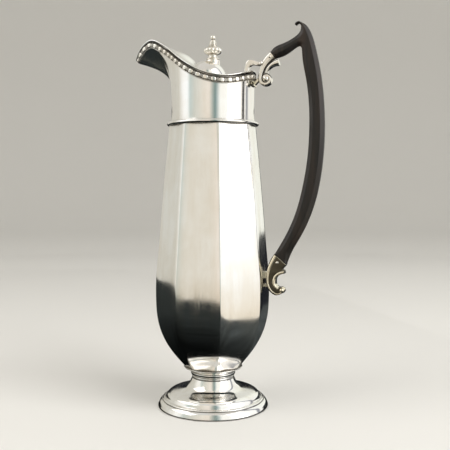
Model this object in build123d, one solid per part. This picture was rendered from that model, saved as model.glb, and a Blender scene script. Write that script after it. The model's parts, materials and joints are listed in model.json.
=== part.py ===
from build123d import *
import os
from math import cos, exp, hypot, radians, sin, sqrt

# Covered silver water jug: octagonal body on a round foot, hinged lid, ebony handle.
# Origin at the centre of the foot's base, +Z up, handle towards +X, spout towards -X.
# All sizes in millimetres.

# ---- Sheet and round mouldings ---------------------------------------------
SHEET = 1.0                 # silver sheet of the foot, body, neck and lid
JOINT_GAP = 0.04            # solder line left between neighbouring pieces
BORDER_GAP = 0.15           # the same behind the border, where both faces curve
FOOT_RADIUS = 47.6
FOOT_WIRE_HEIGHT = 6.3
STEM_RADIUS = 18.3          # foot's trumpet where it meets the rings
STEM_TOP = 24.6
STEM_BORE = 14.0            # open middle of the rings and the cup
RING_SPLIT = 27.1           # height of the line between the two rings
RING_DEPTH = 1.6            # how far the rings stand out round their edges
CUP_BOTTOM = 30.5
CUP_TOP = 34.6

# ---- Octagonal body ----------------------------------------------------------
BODY_TOP = 241.2
BODY_CORNERS = [            # (height, radius to the corners)
    (34.64, 24.6), (40.9, 30.1), (48.6, 36.2), (60.0, 42.9), (74.2, 47.6), (91.7, 49.3),
    (110.0, 49.2), (135.2, 47.1), (170.0, 44.2), (204.0, 41.1), (241.2, 37.4),
]
FLOOR_HEIGHT = 36.6
GIRDLE_RADIUS = 39.2
GIRDLE_HEIGHT = 3.1

# ---- Neck, spout and rim -----------------------------------------------------
NECK_BOTTOM = BODY_TOP + JOINT_GAP
NECK_RADIUS = 35.2
NECK_FLARE = 1.5            # widening of the neck where it meets the girdle
NECK_STRAIGHT = (252.0, 262.0)
RIM_RADIUS = 37.5
LIP_REACH = 31.2            # how far the spout's tip stands out beyond the round rim
LIP_NOSE_ANGLE = 5.0        # degrees; rounds the spout's nose
LIP_SPREAD_ANGLE = 10.2     # degrees; how quickly the spout narrows from the neck
BAND_DEPTH = 1.9            # bead-and-reel border applied round the rim
BAND_HEIGHT = 5.2
RIM_LINE = [                # (x, height) of the rim seen square from the side
    (-68.7, 299.6), (-64.4, 305.9), (-60.0, 309.9), (-53.0, 312.8), (-43.1, 309.3), (-32.8, 302.5),
    (-22.8, 294.9), (-12.6, 287.9), (0.0, 281.3), (9.1, 278.5), (19.9, 277.6), (33.2, 281.8), (40.0, 286.4),
]

# ---- Lid and finial ----------------------------------------------------------
LID_GAP = 0.9               # shadow line between the rim and the lid
LID_INSET = 0.6             # lid's edge inside the border's outermost line
LID_OVERHANG = 1.6          # more of the lid at the spout's tip, where it covers the border
LID_HOLE_RADIUS = 1.8
DOME_X = -5.4
DOME_Z = 279.6
DOME_RADIUS = 17.0
DOME_SKIRT = 0.97           # share of the radius where the dome's side turns straight
RIDGE_X = -21.0
RIDGE_HEIGHT = 5.4
RIDGE_LENGTH = 12.0
RIDGE_WIDTH = 11.0
BLEND = 1.5                 # softness of the line between dome and lid
BEZEL_RADIUS = 33.2
BEZEL_DROP = 3.0
STUD_RADIUS = 1.6
NUT_BOTTOM = 287.6
NUT_TOP = 290.3
WASHER_RADIUS = 4.2

# ---- Hinge -------------------------------------------------------------------
HINGE_X = 42.7
HINGE_Z = 291.7
PIN_RADIUS = 0.7
PIN_HEAD_RADIUS = 1.1
PIN_CLEARANCE = 0.06
KNUCKLE_RADIUS = 1.5
KNUCKLE_HALF = 2.9          # half length of the lid's knuckle
KNUCKLE_OUTER = 5.8         # outer end of the socket's knuckles
KNUCKLE_GAP = 0.35
ARM_HALF = 2.9

# ---- Handle and its sockets --------------------------------------------------
UPPER_JOINT = ((50.1, 300.9), (53.9, 295.8))
LOWER_JOINT = ((54.4, 133.0), (64.4, 124.6))
GRIP_HALF = [               # (height, half thickness) of the ebony
    (120, 4.6), (150, 5.2), (200, 5.8), (250, 5.8), (290, 5.0), (312, 4.0), (328, 2.6),
]
SOCKET_HALF = 5.0
SCROLL_ROLL = 0.6           # how far volutes and bulbs stand beyond the scrolls' flats
RIVET_RADIUS = 0.9
RIVET_HEAD_RADIUS = 1.5
TENON_HALF = 3.0
BRACKET_ANGLE = 14.0        # half the reach of the saddle round the back of the neck
BRACKET_BOTTOM = 272.8
BRACKET_TOP = 277.6

SECTION_ANGLES = [0, 4, 8, 12, 17, 23, 31, 42, 56, 75, 100, 130, 155, 180]

NODES = {}


# ---- Shared helpers ----------------------------------------------------------
def smooth_curve(points):
    """Natural cubic spline through (t, value) points, straight beyond its ends."""
    ts = [t for t, value in points]
    vs = [value for t, value in points]
    count = len(points)
    widths = [ts[i + 1] - ts[i] for i in range(count - 1)]
    slopes = [(vs[i + 1] - vs[i]) / widths[i] for i in range(count - 1)]
    diagonal = [1.0] * count
    bends = [0.0] * count
    for i in range(1, count - 1):
        diagonal[i] = 2 * (widths[i - 1] + widths[i])
        bends[i] = 6 * (slopes[i] - slopes[i - 1])
        if i > 1:
            share = widths[i - 1] / diagonal[i - 1]
            diagonal[i] -= share * widths[i - 1]
            bends[i] -= share * bends[i - 1]
    for i in range(count - 2, 0, -1):
        following = widths[i] * bends[i + 1] if i < count - 2 else 0.0
        bends[i] = (bends[i] - following) / diagonal[i]
    bends[0] = 0.0
    bends[-1] = 0.0

    def value_at(t):
        if t <= ts[0]:
            return vs[0] + (t - ts[0]) * (slopes[0] - widths[0] * bends[1] / 6)
        if t >= ts[-1]:
            return vs[-1] + (t - ts[-1]) * (slopes[-1] + widths[-1] * bends[-2] / 6)
        i = max(k for k in range(count - 1) if ts[k] <= t)
        width = widths[i]
        a = (ts[i + 1] - t) / width
        b = (t - ts[i]) / width
        bend = (a ** 3 - a) * bends[i] + (b ** 3 - b) * bends[i + 1]
        return a * vs[i] + b * vs[i + 1] + bend * width * width / 6

    return value_at


def side(points):
    """Points (x, z) in the plane of the handle and the spout."""
    return [Vector(x, 0, z) for x, z in points]


def straight(*points):
    return Polyline(*side(points)).edges()


def curved(*points):
    return [Edge.make_spline(side(points))]


def side_face(edges):
    return Face(Wire(list(edges)))


def turned(edges):
    """A piece turned about the jug's axis from its half section."""
    return revolve(side_face(edges), axis=Axis.Z)


def plate(edges, half):
    """A flat piece either side of the handle's plane, 2 * half thick."""
    return extrude(side_face(edges), amount=half, dir=(0, 1, 0), both=True)


def cross_pin(x, z, radius, half):
    """A cylinder across the handle's plane."""
    pin = Cylinder(radius, 2 * half, rotation=(90, 0, 0))
    return Pos(x, 0, z) * pin


def around(angle, radius, height):
    """Point at an angle from the spout's direction, on the +Y side."""
    a = radians(angle)
    return Vector(-radius * cos(a), radius * sin(a), height)


def both_sides(sections):
    """Loft half-way round from the spout to the handle and mirror it."""
    half = Solid.make_loft(sections)
    return half + mirror(half, about=Plane.XZ)


def add(name, shape):
    NODES[name] = shape


# ---- Shape functions of the rim, neck and lid ---------------------------------
rim_line = smooth_curve(RIM_LINE)
body_corner = smooth_curve(BODY_CORNERS)


def lip_share(angle):
    """1 at the spout's tip, falling to 0 round the neck."""
    rounded = sqrt(angle ** 2 + LIP_NOSE_ANGLE ** 2) - LIP_NOSE_ANGLE
    return exp(-rounded / LIP_SPREAD_ANGLE)


def rim_radius(angle):
    return RIM_RADIUS + LIP_REACH * lip_share(angle)


def collar_radius(angle):
    """Outside of the neck's upright collar, behind the border."""
    return rim_radius(angle) - BAND_DEPTH


def rim_height(angle):
    return rim_line(-collar_radius(angle) * cos(radians(angle)))


def band_height(angle):
    """Upright height of the border, so that it keeps its width where the rim slopes."""
    step = 0.5
    low, high = max(angle - step, 0), min(angle + step, 180)
    start = around(low, collar_radius(low), 0)
    end = around(high, collar_radius(high), 0)
    run = (end - start).length
    rise = rim_height(high) - rim_height(low)
    return BAND_HEIGHT * sqrt(1 + (rise / run) ** 2)


def neck_side(angle, inward):
    """Upright line of the neck wall, from the girdle to the rim; inward sets the wall."""
    share = lip_share(angle)
    top = rim_height(angle) - 0.4
    bend_top = rim_height(angle) - band_height(angle) + inward * share
    radius = NECK_RADIUS - inward
    reach = collar_radius(angle) - inward - radius
    low, high = NECK_STRAIGHT
    power = 2 + 2 * share
    points = []
    for part in (1.0, 0.5):
        height = low - part * (low - NECK_BOTTOM)
        points.append((radius + NECK_FLARE * part ** 2, height))
    points += [(radius, low), (radius, high)]
    for part in (0.35, 0.6, 0.78, 0.9, 1.0):
        points.append((radius + reach * part ** power, high + part * (bend_top - high)))
    return [around(angle, r, z) for r, z in points], around(angle, radius + reach, top)


def dome_height(x, y, sheet):
    radius = DOME_RADIUS - sheet
    distance = hypot(x - DOME_X, y)
    skirt = DOME_SKIRT * radius
    if distance <= skirt:
        return DOME_Z + sqrt(radius ** 2 - distance ** 2)
    steepness = DOME_SKIRT / sqrt(1 - DOME_SKIRT ** 2)
    return DOME_Z + radius * sqrt(1 - DOME_SKIRT ** 2) - steepness * (distance - skirt)


def lid_height(x, y, sheet):
    """Height of the lid's upper side (sheet 0) or under side (sheet SHEET)."""
    ridge = RIDGE_HEIGHT * exp(-((x - RIDGE_X) / RIDGE_LENGTH) ** 2 - (y / RIDGE_WIDTH) ** 2)
    cover = rim_line(x) + LID_GAP + SHEET + ridge - sheet
    dome = dome_height(x, y, sheet)
    return 0.5 * (cover + dome + sqrt((cover - dome) ** 2 + BLEND ** 2))


def lid_point(angle, radius, sheet):
    flat = around(angle, radius, 0)
    return Vector(flat.X, flat.Y, lid_height(flat.X, flat.Y, sheet))


# ---- Foot and stem -------------------------------------------------------------
def make_foot_rim_wire():
    outer = FOOT_RADIUS
    height = FOOT_WIRE_HEIGHT
    toe = (outer - 1.8, 0)
    shoulder = (outer - 3.6, height)
    bulge = curved(toe, (outer, 0.45 * height), (outer - 1.6, 0.85 * height), shoulder)
    return turned(bulge + straight(shoulder, (outer - 5.0, height), (outer - 5.0, 0), toe))


def make_foot():
    step = FOOT_WIRE_HEIGHT + JOINT_GAP
    edge = FOOT_RADIUS - 4.2
    dome = [
        (edge - 1.8, step + 1.5), (39.6, 10.2), (35.0, 12.2), (29.0, 13.3), (24.2, 14.4), (21.2, 16.6),
        (19.4, 20.2), (STEM_RADIUS, STEM_TOP),
    ]
    hollow = [
        (STEM_RADIUS - SHEET, STEM_TOP), (18.5, 19.8), (20.5, 15.9), (23.8, 13.5), (29.0, 12.3),
        (34.6, 11.2), (38.6, 9.5), (40.2, step),
    ]
    brim = [hollow[-1], (edge, step), (edge, step + 1.0), dome[0]]
    return turned(curved(*dome) + straight(dome[-1], hollow[0]) + curved(*hollow) + straight(*brim))


def make_stem_ring(bottom, top, radius):
    """Half-round ring between the foot's trumpet and the cup."""
    edge = radius - RING_DEPTH
    bulge = curved((edge, bottom), (radius, (bottom + top) / 2), (edge, top))
    return turned(bulge + straight((edge, top), (STEM_BORE, top), (STEM_BORE, bottom), (edge, bottom)))


def make_body_cup():
    floor = CUP_BOTTOM + SHEET
    outer = [(19.6, CUP_BOTTOM), (21.0, 31.6), (23.0, 32.9), (25.4, CUP_TOP - 0.5)]
    lip = [outer[-1], (25.2, CUP_TOP), (21.6, CUP_TOP), (21.2, 33.4)]
    inner = [lip[-1], (20.2, 32.3), (19.0, floor)]
    base = [inner[-1], (STEM_BORE, floor), (STEM_BORE, CUP_BOTTOM), outer[0]]
    return turned(curved(*outer) + straight(*lip) + curved(*inner) + straight(*base))


# ---- Body ----------------------------------------------------------------------
def octagon(height, corner_radius):
    corners = []
    for k in range(8):
        a = radians(22.5 + 45 * k)
        corners.append(Vector(corner_radius * cos(a), corner_radius * sin(a), height))
    return Wire.make_polygon(corners, close=True)


def inner_corner(height):
    """Corner radius inside the sheet, thicker across where the wall leans out."""
    step = 0.5
    lean = (body_corner(height + step) - body_corner(height - step)) / (2 * step)
    return body_corner(height) - SHEET * sqrt(1 + lean ** 2)


def make_body():
    outer = Solid.make_loft([octagon(z, body_corner(z)) for z, radius in BODY_CORNERS])
    inner = Solid.make_loft([octagon(z, inner_corner(z)) for z, radius in BODY_CORNERS])
    return outer - inner


def make_body_floor():
    low, high = FLOOR_HEIGHT, FLOOR_HEIGHT + SHEET
    play = 0.12
    sections = [octagon(z, inner_corner(z) - play) for z in (low, high)]
    return Solid.make_loft(sections)


def make_girdle_wire():
    inside = body_corner(BODY_TOP) + JOINT_GAP
    bottom = BODY_TOP - 0.4
    top = bottom + GIRDLE_HEIGHT
    middle = (bottom + top) / 2
    edge = inside + 0.6
    bulge = curved((edge, bottom), (GIRDLE_RADIUS, middle), (edge, top))
    return turned(bulge + straight((edge, top), (inside, top), (inside, bottom), (edge, bottom)))


# ---- Neck and rim ----------------------------------------------------------------
def make_neck():
    sections = []
    for angle in SECTION_ANGLES:
        outer, outer_top = neck_side(angle, 0)
        inner, inner_top = neck_side(angle, SHEET)
        edges = [
            Edge.make_spline(outer),
            Edge.make_line(outer[-1], outer_top),
            Edge.make_line(outer_top, inner_top),
            Edge.make_line(inner_top, inner[-1]),
            Edge.make_spline(list(reversed(inner))),
            Edge.make_line(inner[0], outer[0]),
        ]
        sections.append(Wire(edges))
    return both_sides(sections)


def below_rim(angle, radius, drop):
    """Point a given drop below the rim's line, at any distance from the axis."""
    flat = around(angle, radius, 0)
    return Vector(flat.X, flat.Y, rim_line(flat.X) - drop)


def make_rim_border():
    sections = []
    for angle in SECTION_ANGLES:
        back = collar_radius(angle) + BORDER_GAP
        shoulder = back + 0.5
        front = rim_radius(angle)
        height = band_height(angle)
        bulge = [(shoulder, height), (front, 0.65 * height), (front, 0.35 * height), (shoulder, 0)]
        corners = [(shoulder, 0), (back, 0), (back, height), (shoulder, height)]
        outline = [below_rim(angle, r, drop) for r, drop in corners]
        edges = [Edge.make_spline([below_rim(angle, r, drop) for r, drop in bulge])]
        for start, end in zip(outline, outline[1:]):
            edges.append(Edge.make_line(start, end))
        sections.append(Wire(edges))
    return both_sides(sections)


# ---- Lid ---------------------------------------------------------------------------
def lid_radii(angle):
    """Distances from the axis at which the lid's section is set out."""
    a = radians(angle)
    dome_edge = -DOME_X * cos(a) + sqrt(DOME_RADIUS ** 2 - (DOME_X * sin(a)) ** 2)
    rim = rim_radius(angle) - LID_INSET + LID_OVERHANG * lip_share(angle)
    on_dome = [part * dome_edge for part in (0.45, 0.75, 0.9, 0.98)]
    outside = [dome_edge + part * (rim - dome_edge) for part in (0.08, 0.25, 0.6, 1.0)]
    return [LID_HOLE_RADIUS] + on_dome + outside


def make_lid():
    sections = []
    for angle in SECTION_ANGLES:
        radii = lid_radii(angle)
        top = [lid_point(angle, r, 0) for r in radii]
        under = [lid_point(angle, r, SHEET) for r in reversed(radii)]
        edges = [
            Edge.make_spline(top),
            Edge.make_line(top[-1], under[0]),
            Edge.make_spline(under),
            Edge.make_line(under[-1], top[0]),
        ]
        sections.append(Wire(edges))
    return both_sides(sections)


def make_lid_bezel():
    sections = []
    for angle in SECTION_ANGLES:
        radii = (BEZEL_RADIUS - SHEET, BEZEL_RADIUS)
        tops = [lid_point(angle, r, SHEET) - Vector(0, 0, 0.1) for r in radii]
        bottoms = []
        for top in reversed(tops):
            bottoms.append(Vector(top.X, top.Y, rim_line(top.X) - BEZEL_DROP))
        sections.append(Wire.make_polygon(tops + bottoms, close=True))
    return both_sides(sections)


def dome_ball(sheet):
    return Pos(DOME_X, 0, DOME_Z) * Sphere(DOME_RADIUS - sheet)


def make_finial(lid):
    bottom = NUT_BOTTOM - 0.8
    top = (0, 317.9)
    inside_lid = 291.5
    stud_top = 297.0
    stud_side = [(0, bottom), (STUD_RADIUS, bottom), (STUD_RADIUS, inside_lid)]
    base = straight(*stud_side, (5.9, inside_lid), (5.9, 296.4))
    bell = curved((5.9, 296.4), (5.3, 297.6), (4.1, 298.4), (3.8, 299.8), (4.1, 301.2))
    disc = curved((4.1, 301.2), (6.7, 302.3), (7.9, 304.5), (6.7, 306.6), (4.0, 307.8))
    cone = straight((4.0, 307.8), (3.5, 308.6), (2.4, 313.4), (1.7, 313.8))
    ball = curved((1.7, 313.8), (2.3, 315.6), (1.5, 317.3), top)
    finial = turned(base + bell + disc + cone + ball + straight(top, stud_side[0]))
    stud = Pos(0, 0, (bottom + stud_top) / 2) * Cylinder(STUD_RADIUS, stud_top - bottom)
    return finial - dome_ball(-JOINT_GAP) - lid + stud


def make_finial_washer(lid):
    bottom = NUT_TOP + JOINT_GAP
    blank = Pos(0, 0, bottom + 4) * Cylinder(WASHER_RADIUS, 8)
    hole = Pos(0, 0, bottom + 4) * Cylinder(STUD_RADIUS + JOINT_GAP, 9)
    return (blank & dome_ball(SHEET + JOINT_GAP)) - hole - lid


def make_finial_nut():
    height = NUT_TOP - NUT_BOTTOM
    blank = extrude(RegularPolygon(4.0, 6), amount=height)
    hole = Pos(0, 0, height / 2) * Cylinder(STUD_RADIUS + JOINT_GAP, height + 2)
    return Pos(0, 0, NUT_BOTTOM) * (blank - hole)


# ---- Hinge ---------------------------------------------------------------------------
def make_hinge_arm(lid):
    """Bridge from the lid's rear flange to the knuckle on the pin."""
    outer_foot = (28.2, 289.0)
    inner_foot = (31.6, 286.0)
    top = curved(outer_foot, (29.2, 293.2), (31.6, 295.7), (35.0, 295.5), (38.6, 294.0), (42.4, 293.1))
    back = straight((42.4, 293.1), (42.4, 290.3))
    under = curved((42.4, 290.3), (38.0, 290.9), (34.2, 291.0), (32.4, 289.4), inner_foot)
    leg = straight(inner_foot, (31.4, 278.0), (28.2, 278.0), outer_foot)
    arm = plate(top + back + under + leg, ARM_HALF)
    below_lid = make_below_lid()
    knuckle = cross_pin(HINGE_X, HINGE_Z, KNUCKLE_RADIUS, KNUCKLE_HALF)
    bore = cross_pin(HINGE_X, HINGE_Z, PIN_RADIUS + PIN_CLEARANCE, 2 * KNUCKLE_HALF)
    return arm - below_lid - lid + knuckle - bore


def make_below_lid():
    """Everything under the lid's rear flange, to trim the arm's leg to its surface."""
    stations = [26 + 2 * k for k in range(5)]
    line = [(x, lid_height(x, 0, 0) + JOINT_GAP) for x in stations]
    floor = straight(line[-1], (stations[-1], 270), (stations[0], 270), line[0])
    return plate(curved(*line) + floor, 2 * ARM_HALF)


def make_hinge_pin():
    shank = cross_pin(HINGE_X, HINGE_Z, PIN_RADIUS, KNUCKLE_OUTER + 0.6)
    heads = cross_pin(HINGE_X, HINGE_Z, PIN_HEAD_RADIUS, KNUCKLE_OUTER + 0.5)
    between = cross_pin(HINGE_X, HINGE_Z, 2, KNUCKLE_OUTER + JOINT_GAP)
    return shank + (heads - between)


# ---- Handle sockets --------------------------------------------------------------------
def tenon_frame(joint, depth):
    """Ends of a tenon's centre line, from the joint's middle into the silver."""
    (x1, z1), (x2, z2) = joint
    length = hypot(x2 - x1, z2 - z1)
    inward = ((z2 - z1) / length, -(x2 - x1) / length)
    middle = ((x1 + x2) / 2, (z1 + z2) / 2)
    end = (middle[0] + depth * inward[0], middle[1] + depth * inward[1])
    return middle, end, inward


def tenon(joint, depth, thickness, grow):
    """Square peg on the ebony's end; grow makes the socket's matching hole."""
    middle, end, inward = tenon_frame(joint, depth + grow)
    half = thickness / 2 + grow
    across = (inward[1], -inward[0])
    start = (middle[0] - 0.5 * inward[0], middle[1] - 0.5 * inward[1])
    corners = []
    for (x, z), way in ((start, 1), (end, 1), (end, -1), (start, -1)):
        corners.append((x + way * half * across[0], z + way * half * across[1]))
    return plate(straight(*corners, corners[0]), TENON_HALF + grow)


def upper_tenon(grow):
    return tenon(UPPER_JOINT, 6.0, 3.0, grow)


def lower_tenon(grow):
    return tenon(LOWER_JOINT, 8.0, 5.0, grow)


def make_upper_socket():
    """Cast scroll: a tapering stem that curls into a volute, with a spur leaf beside it."""
    high, low = UPPER_JOINT
    outside = curved(high, (44.4, 294.8), (41.3, 289.2), (39.5, 283.4), (40.4, 277.2), (45.5, 273.0))
    inside = curved((49.5, 279.0), (46.4, 283.6), (46.0, 288.2), (49.4, 292.7), low)
    stem = plate(outside + straight((45.5, 273.0), (49.5, 279.0)) + inside + straight(low, high), SOCKET_HALF)
    volute = cross_pin(46.4, 278.9, 6.2, SOCKET_HALF + SCROLL_ROLL)
    boss = cross_pin(46.0, 278.6, 2.9, SOCKET_HALF + SCROLL_ROLL + 0.9)
    leaf_top = curved((45.5, 284.0), (47.8, 288.6), (51.0, 291.6), (55.2, 293.9))
    leaf_end = straight((55.2, 293.9), (59.0, 290.8))
    leaf_low = curved((59.0, 290.8), (54.0, 288.6), (51.5, 284.0), (50.6, 280.0))
    leaf = plate(leaf_top + leaf_end + leaf_low + straight((50.6, 280.0), (45.5, 284.0)), 3.4)
    knuckles = cross_pin(HINGE_X, HINGE_Z, KNUCKLE_RADIUS, KNUCKLE_OUTER)
    swing_radius = KNUCKLE_RADIUS + KNUCKLE_GAP
    clearance = cross_pin(HINGE_X, HINGE_Z, swing_radius, KNUCKLE_HALF + KNUCKLE_GAP)
    swing = make_arm_swing()
    bore = cross_pin(HINGE_X, HINGE_Z, PIN_RADIUS + 0.02, 2 * KNUCKLE_OUTER)
    rivet_hole = cross_pin(*UPPER_RIVET, RIVET_RADIUS + JOINT_GAP, 2 * SOCKET_HALF)
    scroll = stem + volute + boss + leaf + knuckles
    return scroll - clearance - swing - bore - rivet_hole - upper_tenon(JOINT_GAP)


def make_arm_swing():
    """Notch in the scroll's outer side that the open lid's arm folds into."""
    front = HINGE_X - 6.0
    top = HINGE_Z + 5.0
    corners = [(front, HINGE_Z), (HINGE_X + 2.9, HINGE_Z), (HINGE_X + 3.4, top), (front, top)]
    return plate(straight(*corners, corners[0]), ARM_HALF + KNUCKLE_GAP)


def make_lower_socket():
    """Cast C-scroll below the handle, with a round bulb at its foot."""
    high, low = LOWER_JOINT
    back = curved(
        high, (50.9, 127.8), (48.6, 121.0), (47.3, 113.0), (48.3, 105.0), (51.6, 100.2), (55.3, 98.2),
        (60.7, 99.9),
    )
    bulb_side = straight((60.7, 99.9), (60.7, 105.0))
    inside = curved((60.7, 105.0), (57.0, 105.4), (55.2, 109.6), (56.4, 114.2), (62.7, 116.9))
    horn = straight((62.7, 116.9), (62.9, 118.6), (61.2, 120.2))
    shoulder = curved((61.2, 120.2), (63.2, 122.0), low)
    scroll = plate(back + bulb_side + inside + horn + shoulder + straight(low, high), SOCKET_HALF)
    bulb = cross_pin(60.7, 102.5, 2.7, SOCKET_HALF + SCROLL_ROLL)
    rivet_hole = cross_pin(*LOWER_RIVET, RIVET_RADIUS + JOINT_GAP, 2 * SOCKET_HALF)
    return scroll + bulb - rivet_hole - lower_tenon(JOINT_GAP)


def rivet_place(joint, depth):
    """Where a rivet crosses a tenon, a given depth below the joint."""
    middle, end, inward = tenon_frame(joint, depth)
    return end


UPPER_RIVET = rivet_place(UPPER_JOINT, 2.6)
LOWER_RIVET = rivet_place(LOWER_JOINT, 4.0)


def make_rivet(place, half):
    """Round-headed rivet across a socket and the tenon inside it."""
    shank = cross_pin(*place, RIVET_RADIUS, half + 0.2)
    heads = cross_pin(*place, RIVET_HEAD_RADIUS, half + 0.6)
    between = cross_pin(*place, 2.5, half + JOINT_GAP)
    return shank + (heads - between)


def make_neck_bracket(socket):
    """Saddle soldered round the back of the neck, with a gusset out to the scroll."""
    inside = NECK_RADIUS + 0.7
    outside = inside + 1.2
    low, high = BRACKET_BOTTOM, BRACKET_TOP
    section = straight((inside, low), (outside, low), (outside, high), (inside, high), (inside, low))
    saddle = revolve(side_face(section), axis=Axis.Z, revolution_arc=2 * BRACKET_ANGLE)
    lower_root = (inside + 0.3, low + 0.8)
    upper_root = (inside + 0.3, high)
    edge = [lower_root, (38.2, 275.4), (40.4, 277.4), (41.6, 280.4), (38.6, 279.6), (37.2, high), upper_root]
    gusset = plate(straight(*edge, lower_root), 2.6)
    return Rot(0, 0, -BRACKET_ANGLE) * saddle + gusset - socket


def make_lower_pads(body, socket):
    """Two small pads that stand the lower scroll off the body's flat."""
    upper = Pos(47.4, 0, 115.0) * Box(5.0, 8.0, 5.2)
    lower = Pos(47.4, 0, 106.2) * Box(5.0, 6.0, 2.2)
    solid_body = Solid.make_loft([octagon(z, body_corner(z)) for z, radius in BODY_CORNERS])
    return Compound(children=[pad - solid_body - socket for pad in (upper, lower)])


# ---- Ebony handle ------------------------------------------------------------------------
def make_handle():
    arm_start, arm_low = UPPER_JOINT
    foot_inner, foot_outer = LOWER_JOINT
    crest = curved(arm_start, (52.9, 304.2), (60.0, 307.4), (70.2, 312.4), (74.9, 317.4), (75.4, 321.6))
    curl = curved((75.4, 321.6), (73.4, 323.2), (71.6, 321.9), (70.3, 322.8), (71.2, 324.4), (73.8, 325.2))
    back = curved(
        (73.8, 325.2), (79.6, 321.5), (84.0, 314.4), (88.0, 301.0), (91.8, 282.8), (94.6, 259.0),
        (95.4, 236.0), (94.3, 213.0), (90.6, 188.0), (84.6, 167.0), (75.6, 147.5), (67.6, 133.0), foot_outer,
    )
    front = curved(
        foot_inner, (62.4, 146.6), (71.0, 165.4), (77.2, 188.0), (81.2, 212.0), (82.7, 236.0),
        (82.1, 260.0), (79.6, 279.0), (77.0, 293.0), (76.2, 302.6),
    )
    crook = curved((76.2, 302.6), (74.6, 304.9), (70.8, 303.6), (61.3, 297.8), arm_low)
    ends = straight(foot_outer, foot_inner) + straight(arm_low, arm_start)
    blank = plate(crest + curl + back + front + crook + ends, max(half for z, half in GRIP_HALF) + 1)
    front_edge = [Vector(0, half, z) for z, half in GRIP_HALF]
    back_edge = [Vector(0, -half, z) for z, half in reversed(GRIP_HALF)]
    edges = [
        Edge.make_spline(front_edge),
        Edge.make_line(front_edge[-1], back_edge[0]),
        Edge.make_spline(back_edge),
        Edge.make_line(back_edge[-1], front_edge[0]),
    ]
    profile = extrude(Face(Wire(edges)), amount=100, dir=(1, 0, 0))
    handle = (blank & profile) + upper_tenon(0) + lower_tenon(0)
    for place in (UPPER_RIVET, LOWER_RIVET):
        handle -= cross_pin(*place, RIVET_RADIUS + JOINT_GAP, 10)
    return handle


# ---- The whole jug -------------------------------------------------------------------------
def build():
    add("foot_rim_wire", make_foot_rim_wire())
    add("foot", make_foot())
    add("stem_ring_lower", make_stem_ring(STEM_TOP + JOINT_GAP, RING_SPLIT, STEM_RADIUS))
    add("stem_ring_upper", make_stem_ring(RING_SPLIT + JOINT_GAP, CUP_BOTTOM - JOINT_GAP, STEM_RADIUS + 0.9))
    add("body_cup", make_body_cup())
    add("body", make_body())
    add("body_floor", make_body_floor())
    add("girdle_wire", make_girdle_wire())
    add("neck", make_neck())
    add("rim_border", make_rim_border())
    add("upper_socket", make_upper_socket())
    add("upper_socket_rivet", make_rivet(UPPER_RIVET, SOCKET_HALF))
    add("neck_bracket", make_neck_bracket(NODES["upper_socket"]))
    add("lower_socket", make_lower_socket())
    add("lower_socket_rivet", make_rivet(LOWER_RIVET, SOCKET_HALF))
    add("lower_pads", make_lower_pads(NODES["body"], NODES["lower_socket"]))
    add("handle", make_handle())
    add("hinge_pin", make_hinge_pin())
    add("lid", make_lid())
    add("lid_bezel", make_lid_bezel())
    add("hinge_arm", make_hinge_arm(NODES["lid"]))
    add("finial", make_finial(NODES["lid"]))
    add("finial_washer", make_finial_washer(NODES["lid"]))
    add("finial_nut", make_finial_nut())


build()
os.makedirs("parts", exist_ok=True)
for name, shape in NODES.items():
    export_step(shape, f"parts/{name}.step")
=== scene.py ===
import json
from bisect import bisect_right
from math import copysign, cos, exp, hypot, pi, radians, sin, sqrt

import bmesh
import bpy
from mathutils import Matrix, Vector, noise
from mathutils.geometry import tessellate_polygon


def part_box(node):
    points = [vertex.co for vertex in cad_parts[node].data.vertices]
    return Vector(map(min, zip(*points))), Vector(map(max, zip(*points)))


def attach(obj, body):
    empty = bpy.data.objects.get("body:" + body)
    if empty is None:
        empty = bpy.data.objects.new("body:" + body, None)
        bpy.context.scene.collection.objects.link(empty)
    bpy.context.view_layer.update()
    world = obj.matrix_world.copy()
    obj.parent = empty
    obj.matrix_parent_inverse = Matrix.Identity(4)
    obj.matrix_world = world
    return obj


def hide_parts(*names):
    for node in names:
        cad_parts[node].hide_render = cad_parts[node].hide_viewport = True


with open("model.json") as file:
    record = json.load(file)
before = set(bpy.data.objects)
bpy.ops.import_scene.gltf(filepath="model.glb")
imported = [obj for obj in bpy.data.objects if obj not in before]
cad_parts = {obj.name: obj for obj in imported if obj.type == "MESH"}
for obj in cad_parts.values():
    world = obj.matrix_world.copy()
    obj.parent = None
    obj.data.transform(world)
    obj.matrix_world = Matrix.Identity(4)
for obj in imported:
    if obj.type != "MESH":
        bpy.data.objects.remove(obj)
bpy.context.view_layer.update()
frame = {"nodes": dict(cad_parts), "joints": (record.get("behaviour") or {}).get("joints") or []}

# Looks of the covered silver jug. Its lengths are in millimetres; nodes and lights are set in metres.
MM = 0.001
JUG = "jug"
LID = "lid"


def node_box(name):
    low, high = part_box(name)
    return low / MM, high / MM


# ---- Driving sizes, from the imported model's boxes ----
FOOT_LOW, FOOT_HIGH = node_box("foot")
WIRE_HIGH = node_box("foot_rim_wire")[1]
CUP_LOW, CUP_HIGH = node_box("body_cup")
BODY_LOW, BODY_HIGH = node_box("body")
NECK_LOW = node_box("neck")[0]
HINGE = Vector(frame["joints"][0]["pos_m"]) / MM
PIN_HIGH = node_box("hinge_pin")[1]

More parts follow.
